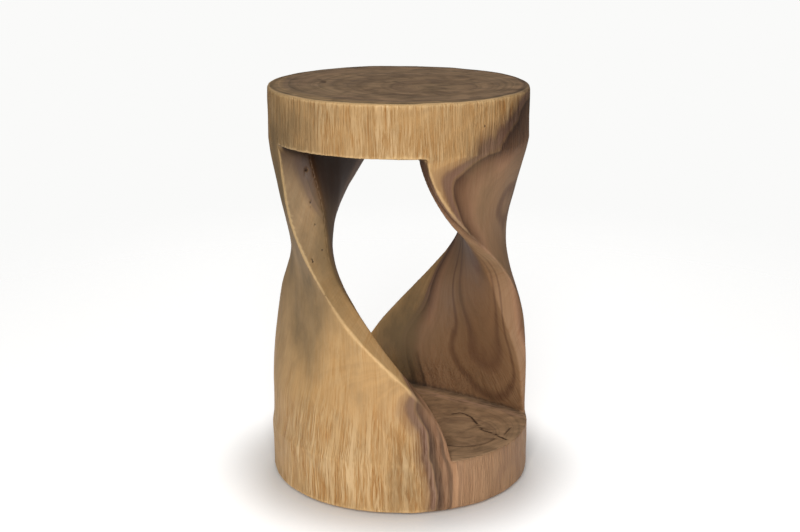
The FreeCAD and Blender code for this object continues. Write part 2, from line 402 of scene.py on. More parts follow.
def shelf_path(points):
    """A path over the dished shelf, from its places in plan."""
    plan = np.array(points) * MM
    return np.column_stack((plan, SHELF - dish_depth(plan)))


def knot_path(x, y, z):
    """A path that is almost a point, for a pit."""
    return np.array(((x, y, z), (x, y, z + 0.1))) * MM


def ring_shake():
    turns = np.radians(SHAKE_DEGREES)
    x, y = SHAKE_CENTRE
    return [(x + SHAKE_RADIUS * math.cos(turn), y + SHAKE_RADIUS * math.sin(turn)) for turn in turns]


# The path, the width, the depth, and how dark it is, from 0 to 1.
FLAWS = [
    (shelf_path(CRACK), 1.2 * MM, 1.2 * MM, 0.8),
    (shelf_path(SIDE_CRACK), 1.1 * MM, 0.7 * MM, 0.5),
    (shelf_path(ring_shake()), 1.9 * MM, 0.6 * MM, 0.38),
]
for x, y, z, size in PIN_KNOTS:
    FLAWS.append((knot_path(x, y, z), size * MM, DEPTH_PER_RADIUS * size * MM, 1.0))
print("flaws:", len(FLAWS))

# %% [markdown]
# A flaw is narrower than the thinned skin's faces. So the faces near each path are
# selected and subdivided, and then the vertices along the path are pressed in. How
# near they are to it is kept as an attribute, which darkens the wood there.

# %% Press the flaws in
WIDTHS_AROUND = 3


def distance_to_path(points, path):
    nearest = np.full(len(points), np.inf)
    for start, end in zip(path[:-1], path[1:]):
        along = end - start
        share = np.clip(((points - start) @ along) / (along @ along), 0, 1)
        nearest = np.minimum(nearest, np.linalg.norm(points - start - share[:, None] * along, axis=1))
    return nearest


def select_faces(piece, chosen):
    """Selects just these faces, and leaves the piece in edit mode."""
    select_only(piece)
    bpy.ops.object.mode_set(mode="EDIT")
    bpy.ops.mesh.select_mode(type="FACE")
    bpy.ops.mesh.select_all(action="DESELECT")
    bpy.ops.object.mode_set(mode="OBJECT")
    piece.data.polygons.foreach_set("select", chosen)
    bpy.ops.object.mode_set(mode="EDIT")


centres = read_vectors(log.data.polygons, "center")
near_flaws = np.zeros(len(centres), bool)
for path, width, depth, darkness in FLAWS:
    near_flaws |= distance_to_path(centres, path) < WIDTHS_AROUND * width
select_faces(log, near_flaws)
bpy.ops.mesh.subdivide(number_cuts=2)
bpy.ops.object.mode_set(mode="OBJECT")
flaw = np.zeros(len(log.data.vertices))
for path, width, depth, darkness in FLAWS:
    share = np.exp(-((distance_to_path(places(log), path) / width) ** 2))
    move_to(log, places(log) - normals(log) * (depth * share)[:, None])
    flaw = np.maximum(flaw, darkness * share)
keep_attribute(log, "flaw", flaw)
print("triangles in the log:", triangle_count(log))

# %% [markdown]
# Nothing on the stool moves, so the log rides on the body called root. It replaces
# the four CAD nodes that it was made from.

# %% Body and smooth shading
select_only(log)
bpy.ops.object.shade_smooth()
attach(log, "root")
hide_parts(*WOOD_NODES)


# %% [markdown]
# Every material is a tree of nodes. One helper adds a node, sets it up and links it,
# and gives back its output. Colours are written as sRGB hex values, as a colour
# picker shows them, and one function turns them to the linear values of the nodes.

# %% Helpers for materials
def linear(hex_colour):
    channels = [int(hex_colour[start : start + 2], 16) / 255 for start in (1, 3, 5)]
    straight = [c / 12.92 if c <= 0.04045 else ((c + 0.055) / 1.055) ** 2.4 for c in channels]
    return (*straight, 1)


def add_node(tree, kind, inputs=None, output=0, **settings):
    """Adds a node. Each input is a plain value or another node's output socket."""
    node = tree.nodes.new("ShaderNode" + kind)
    for name, value in settings.items():
        setattr(node, name, value)
    for name, value in (inputs or {}).items():
        if isinstance(value, bpy.types.NodeSocket):
            tree.links.new(value, node.inputs[name])
        else:
            node.inputs[name].default_value = value
    return node.outputs[output]


def new_material(name):
    """A new material, its Principled shader, and a helper that adds nodes to it."""
    material = bpy.data.materials.new(name)
    material.use_nodes = True
    shader = material.node_tree.nodes["Principled BSDF"]
    return material, shader, partial(add_node, material.node_tree)


def set_stops(socket, stops):
    """Gives the colour ramp behind a socket its stops, as positions and colours."""
    elements = socket.node.color_ramp.elements
    while len(elements) < len(stops):
        elements.new(0.5)
    for element, (position, stop_colour) in zip(elements, stops):
        element.position = position
        element.color = stop_colour


def link_shader(shader, outputs):
    """Links nodes' outputs to the shader's sockets of these names."""
    for name, value in outputs.items():
        shader.id_data.links.new(value, shader.inputs[name])
    print(len(shader.id_data.nodes), "nodes lead to", ", ".join(outputs))


# %% [markdown]
# Suar, or rain tree, is a coarse tropical timber: golden sapwood, brown heartwood
# with darker rings, and a purplish zone with dark lines between them. A picture
# wrapped round the stool would break at its arrises. A solid pattern runs through
# them, as the rings do in a log that is carved. The pith lies off centre, near the
# front right. The rings are circles, and their centres move away from the pith as
# they grow, so that they are wider on its far side. All sizes here are in mm.

# %% Wood: the rings round the pith
PITH_AT_FLOOR = (88.2, -73.8, 0)
PITH_LEAN = (-0.0793, 0.0717, 0)
HEARTWOOD_OFF_CENTRE = (-30.8, 37.2, 0)
HEARTWOOD_RADIUS = 101.9
WANDER = 6
WANDER_SIZE = (60, 60, 150)

timber, timber_shader, wood = new_material("suar_log_sanded_and_waxed")
place = wood("TexCoord", output="Object")
place = wood("VectorMath", {0: place, "Scale": 1 / MM}, operation="SCALE")
height = wood("SeparateXYZ", {0: place}, output="Z")
across = wood("VectorMath", {0: place, 1: (1, 1, 0)}, operation="MULTIPLY")


def blotches(where, size, sockets, output=0):
    """A cloud pattern whose blotches have this size in mm, along x, y and z."""
    where = wood("VectorMath", {0: where, 1: [1 / side for side in size]}, operation="MULTIPLY")
    return wood("TexNoise", {"Vector": where, "Scale": 1, **sockets}, output=output)


wander = blotches(place, WANDER_SIZE, {"Detail": 2}, output="Color")
wander = wood("VectorMath", {0: wander, 1: (-0.5, -0.5, 0)}, operation="ADD")
wander = wood("VectorMath", {0: wander, 1: (WANDER, WANDER, 0)}, operation="MULTIPLY")

tilt = wood("CombineXYZ", {"X": height, "Y": height, "Z": height})
pith = wood("VectorMath", {0: tilt, 1: PITH_LEAN, 2: PITH_AT_FLOOR}, operation="MULTIPLY_ADD")
from_pith = wood("VectorMath", {0: across, 1: pith}, operation="SUBTRACT")
from_pith = wood("VectorMath", {0: from_pith, 1: wander}, operation="ADD")

# The ring of size t has t times HEARTWOOD_RADIUS, and its centre lies t times
# HEARTWOOD_OFF_CENTRE from the pith. The t of a place is the root of a quadratic.
square = wood("VectorMath", {0: from_pith, 1: from_pith}, output="Value", operation="DOT_PRODUCT")
lean = wood(
    "VectorMath", {0: from_pith, 1: HEARTWOOD_OFF_CENTRE}, output="Value", operation="DOT_PRODUCT"
)
spread = HEARTWOOD_RADIUS**2 - sum(side**2 for side in HEARTWOOD_OFF_CENTRE)
solved = wood("Math", {0: lean, 1: lean}, operation="MULTIPLY")
solved = wood("Math", {0: square, 1: spread, 2: solved}, operation="MULTIPLY_ADD")
solved = wood("Math", {0: solved}, operation="SQRT")
solved = wood("Math", {0: solved, 1: lean}, operation="SUBTRACT")
ring_share = wood("Math", {0: solved, 1: 1 / spread}, operation="MULTIPLY")
print("radius of the heartwood, mm:", HEARTWOOD_RADIUS)

# %% [markdown]
# A trunk is no cylinder. Its rings bulge out at some heights more than at others, and
# at one spot, low at the front, they are drawn in. A curve node holds the bulges. What
# comes out is the age of the wood: 0 at the pith, and above 100 in the sapwood. A
# small wobble keeps the rings' edges from looking turned on a lathe.

# %% Wood: the age of each place
# Each bulge has its height and its size.
BULGES = (
    (0, 14), (50, 19), (66, 21.5), (82, 20), (120, 18.5),
    (200, -2), (280, 7), (350, 34), (400, 38), (455, 32),
)
LOG_TOP = 460
CURVE_SPAN = 100
DRAWN_IN_PLACE = (22, -140, 96)
DRAWN_IN_REACH = (45, 40, 45)
DRAWN_IN_BY = 6
WOBBLE = 2.5
WOBBLE_SIZE = (9, 9, 26)


def share_of_reach(centre, reach):
    """0 at the centre of a soft round spot, and 1 where it ends."""
    offset = wood("VectorMath", {0: place, 1: centre}, operation="SUBTRACT")
    offset = wood("VectorMath", {0: offset, 1: [1 / side for side in reach]}, operation="MULTIPLY")
    return wood("VectorMath", {0: offset}, output="Value", operation="LENGTH")


climb = wood("Math", {0: height, 1: 1 / LOG_TOP}, operation="MULTIPLY")
bulge_curve = wood("FloatCurve", {"Value": climb})
curve = bulge_curve.node.mapping.curves[0]
while len(curve.points) < len(BULGES):
    curve.points.new(0.5, 0.5)
for point, (level, bulge_size) in zip(curve.points, BULGES):
    point.location = (level / LOG_TOP, 0.5 + bulge_size / CURVE_SPAN)
bulge_curve.node.mapping.update()
bulged = wood("Math", {0: bulge_curve, 1: 0.5}, operation="SUBTRACT")
bulged = wood("Math", {0: bulged, 1: CURVE_SPAN}, operation="MULTIPLY")
within_heartwood = wood("Math", {0: ring_share, 1: 1}, operation="MINIMUM")
bulged = wood("Math", {0: bulged, 1: within_heartwood}, operation="MULTIPLY")

drawn_in = wood(
    "MapRange",
    {"Value": share_of_reach(DRAWN_IN_PLACE, DRAWN_IN_REACH), "From Min": 1, "From Max": 0,
     "To Max": DRAWN_IN_BY},
    interpolation_type="SMOOTHSTEP",
)
wobble = blotches(place, WOBBLE_SIZE, {"Detail": 2})
wobble = wood("Math", {0: wobble, 1: 0.5}, operation="SUBTRACT")

age = wood("Math", {0: ring_share, 1: HEARTWOOD_RADIUS}, operation="MULTIPLY")
age = wood("Math", {0: age, 1: bulged}, operation="SUBTRACT")
age = wood("Math", {0: age, 1: drawn_in}, operation="ADD")
age = wood("Math", {0: wobble, 1: WOBBLE, 2: age}, operation="MULTIPLY_ADD")
print("bulges between the foot and the top:", len(BULGES))

# %% [markdown]
# A colour ramp holds the log's history from the pith out: brown heartwood with a few
# darker rings, a dark line, the purplish zone, and then golden sapwood. A noise along
# the age makes the fine growth rings between them.

# %% Wood: colour from the rings
# Each stop has its age and its colour.
RING_COLOURS = (
    (0, "#7A563B"),
    (20, "#8E6846"),
    (31, "#80593F"),
    (34, "#8E6847"),
    (53, "#906A49"),
    (56, "#75533A"),
    (59, "#916C4B"),
    (64, "#946F4D"),
    (66.5, "#735138"),
    (69, "#977250"),
    (82, "#9C7654"),
    (92, "#9A7152"),
    (97, "#7E5A3F"),
    (100.5, "#5C3F2B"),
    (102, "#4A3123"),
    (102.9, "#946F4D"),
    (103.6, "#7F5D49"),
    (105.6, "#7C5B45"),
    (106.3, "#77563F"),
    (107.2, "#A17A52"),
    (112, "#BC925F"),
    (150, "#C49B66"),
    (200, "#BF9662"),
)
OLDEST_RING = 260
RING_WIDTH = 6.5
RING_CONTRAST = (0.92, 1.06)
SAPWOOD_FROM = (98, 110)

age_share = wood("Math", {0: age, 1: 1 / OLDEST_RING}, operation="MULTIPLY")
colour = wood("ValToRGB", {"Fac": age_share})
set_stops(colour, [(ring / OLDEST_RING, linear(shade)) for ring, shade in RING_COLOURS])

ring_number = wood("Math", {0: age, 1: 1 / RING_WIDTH}, operation="MULTIPLY")
rings = wood(
    "TexNoise", {"W": ring_number, "Scale": 1, "Detail": 3, "Roughness": 0.6}, noise_dimensions="1D"
)
# A noise lies mostly between 0.3 and 0.7, and a map range stretches that.
rings = wood(
    "MapRange",
    {"Value": rings, "From Min": 0.3, "From Max": 0.7, "To Min": RING_CONTRAST[0],
     "To Max": RING_CONTRAST[1]},
)
colour = wood("VectorMath", {0: colour, "Scale": rings}, operation="SCALE")
sapwood = wood("MapRange", {"Value": age, "From Min": SAPWOOD_FROM[0], "From Max": SAPWOOD_FROM[1]})
print("stops from the pith to the bark:", len(RING_COLOURS))

# %% [markdown]
# The material has to tell side grain, which shows streaks, from end grain, which
# shows rings. The direction that a face looks in does that. The fibres follow the
# log's outside, so their places are taken on one round 140 mm from the axis, with a
# little sway. Otherwise streaks on a sloped face would break up into spots.

# %% Wood: the direction of the fibres
END_GRAIN_FROM = (0.6, 0.95)
FIBRE_ROUND = 140
INNERMOST_FIBRE = 100
SWAY = 6
SWAY_SIZE = (30, 30, 55)

normal = wood("TexCoord", output="Normal")
looks_up = wood("SeparateXYZ", {0: normal}, output="Z")
level_face = wood("Math", {0: looks_up}, operation="ABSOLUTE")
end_grain = wood(
    "MapRange",
    {"Value": level_face, "From Min": END_GRAIN_FROM[0], "From Max": END_GRAIN_FROM[1]},
    interpolation_type="SMOOTHSTEP",
)
side_grain = wood("Math", {0: 1, 1: end_grain}, operation="SUBTRACT")

from_axis = wood("VectorMath", {0: across}, output="Value", operation="LENGTH")
outer = wood("Math", {0: from_axis, 1: INNERMOST_FIBRE}, operation="MAXIMUM")
outer = wood("Math", {0: FIBRE_ROUND, 1: outer}, operation="DIVIDE")
sway = blotches(place, SWAY_SIZE, {"Detail": 1}, output="Color")
fibre_place = wood("VectorMath", {0: across, "Scale": outer}, operation="SCALE")
fibre_place = wood("VectorMath", {0: sway, 1: (SWAY, SWAY, 0), 2: fibre_place}, operation="MULTIPLY_ADD")
lift = wood("CombineXYZ", {"Z": height})
fibre_place = wood("VectorMath", {0: fibre_place, 1: lift}, operation="ADD")
print("fibres lie on a round of, mm:", FIBRE_ROUND)

# %% [markdown]
# Along the grain, the cut vessels of suar show as fine dark and pale streaks. They
# are strong where the saw tore the fibres, on the drums, and faint on the rasped and
# sanded legs. Fine and coarse streaks are added up, a third pattern leaves a few dark
# open vessels among them, and a fourth makes clumps of stronger streaks. Real vessels
# are 0.3 mm wide, too fine to show, so the finest streaks here are 1.3 mm wide.

# %% Wood: streaks along the fibres
# The width and the length of each pattern.
FINE_STREAK = (1.3, 38)
COARSE_STREAK = (5.5, 120)
VESSEL = (2.3, 24)
STREAK_CLUMP = (22, 60)
COARSE_SHARE = 0.8
VESSEL_SHARE = 0.9
PALEST_STREAK = 0.55
# The height where torn fibres start, where they are strongest, and how strong.
BASE_TORN = (135, 70, 1)
SEAT_TORN = (385, 402, 0.75)
STREAK_DEPTH = (0.09, 0.3)
HEARTWOOD_STREAKS = 0.45
STREAK_MIDDLE = 0.96


def along_fibres(size, detail):
    width, length = size
    return blotches(fibre_place, (width, width, length), {"Detail": detail, "Roughness": 0.6})


fine = wood(
    "MapRange", {"Value": along_fibres(FINE_STREAK, 3), "From Min": 0.35, "From Max": 0.65, "To Min": -1}
)
coarse = wood(
    "MapRange", {"Value": along_fibres(COARSE_STREAK, 3), "From Min": 0.3, "From Max": 0.7, "To Min": -1}
)
vessels = wood(
    "MapRange",
    {"Value": along_fibres(VESSEL, 2), "From Min": 0.33, "From Max": 0.42, "To Min": -1, "To Max": 0},
)
streaks = wood("Math", {0: coarse, 1: COARSE_SHARE, 2: fine}, operation="MULTIPLY_ADD")
streaks = wood("Math", {0: vessels, 1: VESSEL_SHARE, 2: streaks}, operation="MULTIPLY_ADD")
streaks = wood("Math", {0: streaks, 1: PALEST_STREAK}, operation="MINIMUM")

torn_parts = [
    wood("MapRange", {"Value": height, "From Min": start, "From Max": full, "To Max": most},
         interpolation_type="SMOOTHSTEP")
    for start, full, most in (BASE_TORN, SEAT_TORN)
]
torn_zone = wood("Math", {0: torn_parts[0], 1: torn_parts[1]}, operation="MAXIMUM")
streak_depth = wood(
    "MapRange", {"Value": torn_zone, "To Min": STREAK_DEPTH[0], "To Max": STREAK_DEPTH[1]}
)
clumps = wood(
    "MapRange",
    {"Value": along_fibres(STREAK_CLUMP, 1), "From Min": 0.35, "From Max": 0.6, "To Min": 0.45,
     "To Max": 1.25},
)
denser_heart = wood("MapRange", {"Value": sapwood, "To Min": HEARTWOOD_STREAKS, "To Max": 1})
for share in (clumps, denser_heart, side_grain, streaks):
    streak_depth = wood("Math", {0: streak_depth, 1: share}, operation="MULTIPLY")
streak_gamma = wood("Math", {0: STREAK_MIDDLE, 1: streak_depth}, operation="SUBTRACT")
colour = wood("Gamma", {"Color": colour, "Gamma": streak_gamma})
print("finest streak, mm:", FINE_STREAK[0])

# %% [markdown]
# The log lay outdoors before it was carved, and one side of it went grey: the left
# leg's upper half and the seat's left side are darker and duller than the golden
# wood at the front, and so is the right leg's back edge, low down. These zones are
# partly that grey and partly painted shade, where the light falls off towards the
# left and on that back edge. Soft noise breaks up the zones' edges, and leaves
# smaller grey patches elsewhere.

# %% Wood: grey patches and painted shade
# The centre, the reach and the strength of each zone.
GREY_AND_SHADE_ZONES = (
    ((-128, -62, 318), (105, 95, 190), 0.68),
    ((-108, -80, 215), (50, 62, 85), 0.85),
    ((2, 102, 130), (48, 45, 120), 0.8),
)
GREY_AND_SHADE_COLOUR = "#7B6546"
PATCH_SIZE = (45, 45, 80)
PATCH_GREY = 0.4

patches = blotches(place, PATCH_SIZE, {"Detail": 6, "Roughness": 0.62})
grey_and_shade = wood("MapRange", {"Value": patches, "From Min": 0.5, "From Max": 0.7, "To Max": PATCH_GREY})
broken_up = wood(
    "MapRange", {"Value": patches, "From Min": 0.3, "From Max": 0.65, "To Min": -0.35, "To Max": 0.25}
)
for centre, reach, strength in GREY_AND_SHADE_ZONES:
    zone = wood(
        "MapRange",
        {"Value": share_of_reach(centre, reach), "From Min": 1.15, "From Max": 0.45, "To Max": strength},
    )
    zone = wood("Math", {0: zone, 1: broken_up}, operation="ADD")
    grey_and_shade = wood("Math", {0: grey_and_shade, 1: zone}, operation="MAXIMUM", use_clamp=True)
# Grey wood and painted shade: the zones darken and dull the colour.
colour = wood(
    "Mix", {"Factor": grey_and_shade, "A": colour, "B": linear(GREY_AND_SHADE_COLOUR)}, output="Result", data_type="RGBA"
)
print("grey zones:", len(GREY_AND_SHADE_ZONES))

# %% [markdown]
# The base's drum was sawn last, so there the heartwood kept a fresh, pinkish tan.
# Its side also shows three dark lines and a pale strip, which fade out higher up the
# log. They are shades by which the colour is multiplied, along the age.

# %% Wood: the fresh heartwood of the base
FRESH_HEART = "#B58A66"
FRESH_BELOW = (72, 56)
FRESH_SHARE = 0.5
FRESH_INSIDE = (97, 92)
BASE_LINES = (
    (85.5, 1), (86.5, 0.85), (87.5, 0.85), (88.3, 1.18), (91.2, 1.18), (92.2, 0.5),
    (93.4, 0.5), (94.8, 1), (97.6, 1), (98.8, 0.72), (101.6, 0.72), (102.6, 1),
)
LINES_BELOW = (115, 85)
PALEST_SHADE = 2

fresh = wood(
    "MapRange",
    {"Value": height, "From Min": FRESH_BELOW[0], "From Max": FRESH_BELOW[1], "To Max": FRESH_SHARE},
)
heartwood = wood("Math", {0: 1, 1: sapwood}, operation="SUBTRACT")
deep_heart = wood(
    "MapRange", {"Value": age, "From Min": FRESH_INSIDE[0], "From Max": FRESH_INSIDE[1], "To Min": 0.25}
)
for share in (heartwood, deep_heart):
    fresh = wood("Math", {0: fresh, 1: share}, operation="MULTIPLY")
colour = wood(
    "Mix", {"Factor": fresh, "A": colour, "B": linear(FRESH_HEART)}, output="Result", data_type="RGBA"
)

# A ramp's colours end at 1, so the shades are halved in it and doubled after it.
base_lines = wood("ValToRGB", {"Fac": age_share})
set_stops(
    base_lines, [(ring / OLDEST_RING, (*[shade / PALEST_SHADE] * 3, 1)) for ring, shade in BASE_LINES]
)
base_lines = wood("VectorMath", {0: base_lines, 1: [PALEST_SHADE] * 3}, operation="MULTIPLY")
lined = wood("VectorMath", {0: colour, 1: base_lines}, operation="MULTIPLY")
base_only = wood("MapRange", {"Value": height, "From Min": LINES_BELOW[0], "From Max": LINES_BELOW[1]})
base_only = wood("Math", {0: base_only, 1: side_grain}, operation="MULTIPLY")
colour = wood("Mix", {"Factor": base_only, "A": colour, "B": lined}, output="Result", data_type="RGBA")
print("stops in the base's lines:", len(BASE_LINES))

# %% [markdown]
# End grain drinks more wax and dust than side grain, so the seat's top and the shelf
# are darker and greyer. Three things are laid over their colour: blurred smears where
# the vessels lie open, the cut growth rings, and a dark line just inside the seat's
# rounded rim.

# %% Wood: end grain
END_COLOUR = "#A48A6C"
END_SHARE = 0.55
SMEAR_SIZE = (26, 19, 60)
SMEAR_CONTRAST = (0.8, 1.5)
CUT_RING_WIDTH = 9
CUT_RING_CONTRAST = (0.78, 1.06)
RIM_LINE_STARTS = (136.5, 139)
RIM_LINE_ENDS = (143, 141.5)
RIM_LINE_ABOVE = (430, 440)
RIM_SHADE = 0.62

smears = blotches(place, SMEAR_SIZE, {"Detail": 5, "Roughness": 0.55, "Distortion": 0.9})
smears = wood(
    "MapRange",
    {"Value": smears, "From Min": 0.33, "From Max": 0.62, "To Min": SMEAR_CONTRAST[0],
     "To Max": SMEAR_CONTRAST[1]},
)
cut_rings = wood("Math", {0: age, 1: 1 / CUT_RING_WIDTH}, operation="MULTIPLY")
cut_rings = wood(
    "TexNoise", {"W": cut_rings, "Scale": 1, "Detail": 3, "Roughness": 0.65}, noise_dimensions="1D"
)
cut_rings = wood(
    "MapRange",
    {"Value": cut_rings, "From Min": 0.34, "From Max": 0.56, "To Min": CUT_RING_CONTRAST[0],
     "To Max": CUT_RING_CONTRAST[1]},
)
rim_line = wood("MapRange", {"Value": height, "From Min": RIM_LINE_ABOVE[0], "From Max": RIM_LINE_ABOVE[1]})
for start, end in (RIM_LINE_STARTS, RIM_LINE_ENDS):
    side = wood("MapRange", {"Value": from_axis, "From Min": start, "From Max": end})
    rim_line = wood("Math", {0: rim_line, 1: side}, operation="MULTIPLY")
rim_line = wood("MapRange", {"Value": rim_line, "To Min": 1, "To Max": RIM_SHADE})

weathered = wood(
    "Mix", {"Factor": END_SHARE, "A": colour, "B": linear(END_COLOUR)}, output="Result", data_type="RGBA"
)
for shade in (smears, cut_rings, rim_line):
    weathered = wood("VectorMath", {0: weathered, "Scale": shade}, operation="SCALE")
colour = wood(
    "Mix", {"Factor": end_grain, "A": colour, "B": weathered}, output="Result", data_type="RGBA"
)
print("width of the cut rings, mm:", CUT_RING_WIDTH)

# %% [markdown]
# The walls of the passage between the legs are darkened with painted shade: a little
# everywhere, and most deep inside and close under the seat, where the seat's shadow
# falls. A face of the passage is one that doesn't look away from the log's axis.

# %% Wood: painted shade in the passage
PASSAGE_SHADE = (0.07, 0.92)
PASSAGE_SHADE_COLOUR = "#3A210E"
PASSAGE_SHADE_FROM = (322, 380)
PASSAGE_SHADE_ROUND = 118
PASSAGE_SHADE_SLOPE = 0.9

straight_out = wood("VectorMath", {0: across}, operation="NORMALIZE")
looks_out = wood("VectorMath", {0: normal, 1: straight_out}, output="Value", operation="DOT_PRODUCT")
passage = wood("MapRange", {"Value": looks_out, "From Min": 0.9, "From Max": 0.6})
not_a_top = wood("MapRange", {"Value": looks_up, "From Min": 0.7, "From Max": 0.3})
passage = wood("Math", {0: passage, 1: not_a_top}, operation="MULTIPLY")
# Wood that lies nearer to the axis than the painted shade's round counts as higher.
shade_height = wood(
    "Math", {0: from_axis, 1: -PASSAGE_SHADE_SLOPE, 2: PASSAGE_SHADE_SLOPE * PASSAGE_SHADE_ROUND}, operation="MULTIPLY_ADD"
)
shade_height = wood("Math", {0: shade_height, 1: height}, operation="ADD")
passage_shade = wood(
    "MapRange",
    {"Value": shade_height, "From Min": PASSAGE_SHADE_FROM[0], "From Max": PASSAGE_SHADE_FROM[1], "To Min": PASSAGE_SHADE[0],
     "To Max": PASSAGE_SHADE[1]},
    interpolation_type="SMOOTHSTEP",
)
passage_shade = wood("Math", {0: passage, 1: passage_shade}, operation="MULTIPLY")
# Painted shadow: the passage's walls are mixed towards dark brown.
colour = wood(
    "Mix", {"Factor": passage_shade, "A": colour, "B": linear(PASSAGE_SHADE_COLOUR)}, output="Result", data_type="RGBA"
)
# The printed shares are those of the painted shade.
print("share of stain, least and most:", PASSAGE_SHADE)

# %% [markdown]
# Along the shelf's back edge the chisel tore the end grain into pale frayed strips,
# which run beside the wall. They are a pattern that is long along the wall and narrow
# across it, kept to a band at the wall's distance from the axis.

# %% Wood: the frayed edge of the shelf
FRAYED_COLOUR = "#C9A285"
FRAYED_MOST = 0.85
WALL_DIRECTION = (0.835, -0.551, 0)
WALL_NORMAL = (0.551, 0.835, 0)
WALL_FROM_AXIS = 75.5
FRAYED_REACH = (10, 3)
FRAYED_STRIP = (26, 2.4, 26)
FRAYED_BELOW = (74, 66)

along_wall = wood("VectorMath", {0: place, 1: WALL_DIRECTION}, output="Value", operation="DOT_PRODUCT")
to_wall = wood("VectorMath", {0: place, 1: WALL_NORMAL}, output="Value", operation="DOT_PRODUCT")
strips = wood("CombineXYZ", {"X": along_wall, "Y": to_wall, "Z": height})
strips = blotches(strips, FRAYED_STRIP, {"Detail": 3})
strips = wood(
    "MapRange", {"Value": strips, "From Min": 0.42, "From Max": 0.58, "To Max": FRAYED_MOST}
)
near_wall = wood("Math", {0: to_wall, 1: WALL_FROM_AXIS}, operation="SUBTRACT")
near_wall = wood("Math", {0: near_wall}, operation="ABSOLUTE")
near_wall = wood(
    "MapRange", {"Value": near_wall, "From Min": FRAYED_REACH[0], "From Max": FRAYED_REACH[1]}
)
shelf_only = wood("MapRange", {"Value": height, "From Min": FRAYED_BELOW[0], "From Max": FRAYED_BELOW[1]})
for limit in (near_wall, shelf_only, end_grain):
    strips = wood("Math", {0: strips, 1: limit}, operation="MULTIPLY")
colour = wood(
    "Mix", {"Factor": strips, "A": colour, "B": linear(FRAYED_COLOUR)}, output="Result", data_type="RGBA"
)
print("frayed strips, mm:", FRAYED_STRIP)

# %% [markdown]
# The seat's right side is darkened with painted shade, where the light falls off round
# the log. It is a soft round zone in which every colour is darker.

# %% Wood: painted shade on the seat's right side
RIGHT_SIDE_SHADE_PLACE = (131, -58, 417)
RIGHT_SIDE_SHADE_REACH = (54, 66, 50)
RIGHT_SIDE_SHADE = 0.52

right_side_shade = wood(
    "MapRange",
    {"Value": share_of_reach(RIGHT_SIDE_SHADE_PLACE, RIGHT_SIDE_SHADE_REACH), "From Min": 1, "From Max": 0.1,
     "To Min": 1, "To Max": RIGHT_SIDE_SHADE},
    interpolation_type="SMOOTHSTEP",
)
# Painted shade: every colour in the zone is darkened, most at its centre.
colour = wood("VectorMath", {0: colour, "Scale": right_side_shade}, operation="SCALE")
# The printed share is that of the painted shade.
print("old wax darkens to a share of:", RIGHT_SIDE_SHADE)

# %% [markdown]
# The arrises along the log's round are rubbed pale in the sapwood, the hollows are
# darkened with painted shade, and the cracks and the pin knots are dark brown. These
# read the attributes that were measured on the skin.

# %% Wood: wear, painted shade in the hollows, and flaws
WORN_COLOUR = "#DFBE8A"
WORN_FROM = (0.1, 0.42)
WORN_MOST = 0.95
WORN_ROUND = (129, 134)
WORN_ELSEWHERE = 0.02
RUBBED = 1.35
CREASE_PAINTED_SHADE = 0.4
FLAW_COLOUR = "#2B1B11"
FLAW_MOST = 0.9

worn = wood("Attribute", output="Fac", attribute_name="worn")
worn = wood(
    "MapRange", {"Value": worn, "From Min": WORN_FROM[0], "From Max": WORN_FROM[1], "To Max": WORN_MOST}
)
near_round = wood("MapRange", {"Value": from_axis, "From Min": WORN_ROUND[0], "From Max": WORN_ROUND[1]})
golden = wood("Math", {0: sapwood, 1: near_round}, operation="MULTIPLY")
golden = wood("MapRange", {"Value": golden, "To Min": WORN_ELSEWHERE})
worn = wood("Math", {0: worn, 1: golden}, operation="MULTIPLY")
rubbed = wood("VectorMath", {0: colour, "Scale": RUBBED}, operation="SCALE")
rubbed = wood(
    "Mix", {"Factor": 0.4, "A": rubbed, "B": linear(WORN_COLOUR)}, output="Result", data_type="RGBA"
)
colour = wood("Mix", {"Factor": worn, "A": colour, "B": rubbed}, output="Result", data_type="RGBA")

# Painted shade: the colour is darkened in the hollows, as if shade fell there.
crease_painted_shade = wood("Attribute", output="Fac", attribute_name="crease_painted_shade")
crease_painted_shade = wood(
    "MapRange", {"Value": crease_painted_shade, "From Min": 0.1, "From Max": 1.0, "To Min": 1, "To Max": CREASE_PAINTED_SHADE}
)
colour = wood("VectorMath", {0: colour, "Scale": crease_painted_shade}, operation="SCALE")

flaws = wood("Attribute", output="Fac", attribute_name="flaw")
flaws = wood("MapRange", {"Value": flaws, "From Min": 0.05, "From Max": 0.55, "To Max": FLAW_MOST})
colour = wood(
    "Mix", {"Factor": flaws, "A": colour, "B": linear(FLAW_COLOUR)}, output="Result", data_type="RGBA"
)
print("rubbed edges are brighter by:", RUBBED)

# %% [markdown]
# Sanded suar under a thin coat of wax has a satin gloss, a little duller where the
# wood is grey. The streaks on the drums can be felt, and the whole surface has pores
# along the grain. Both are finer than the mesh, so they are a bump.

# %% Wood: relief and gloss
PORE = (0.9, 14)
PORE_SHARE = 0.3
RELIEF_DEPTH = 0.8 * MM
SATIN = (0.48, 0.64)

relief = wood("Math", {0: torn_zone, 1: side_grain}, operation="MULTIPLY")
relief = wood("Math", {0: streaks, 1: relief}, operation="MULTIPLY")
relief = wood("Math", {0: along_fibres(PORE, 2), 1: PORE_SHARE, 2: relief}, operation="MULTIPLY_ADD")
bump = wood("Bump", {"Height": relief, "Strength": 0.6, "Distance": RELIEF_DEPTH}, output="Normal")
gloss = wood(
    "MapRange",
    {"Value": patches, "From Min": 0.3, "From Max": 0.7, "To Min": SATIN[0], "To Max": SATIN[1]},
)
timber_shader.inputs["Specular IOR Level"].default_value = 0.3
link_shader(timber_shader, {"Base Color": colour, "Roughness": gloss, "Normal": bump})
log.data.materials.append(timber)

# %% [markdown]
# Four glides are nailed under the base. The moulded nylon cups and the steel nails
# keep their CAD shapes. A felt disc is never so crisp: its cut edge is rounded and
# its face is matted and a little uneven, so the four discs are modelled here. The
# wool's colour is a matted mix of dark and light fibres, with hardly any gloss.

# %% Pressed wool felt
FELT_COLOURS = ((0.35, "#4A443D"), (0.65, "#7D766B"))
FELT_FIBRES_PER_MM = 3.5
FELT_NAP = 0.25 * MM

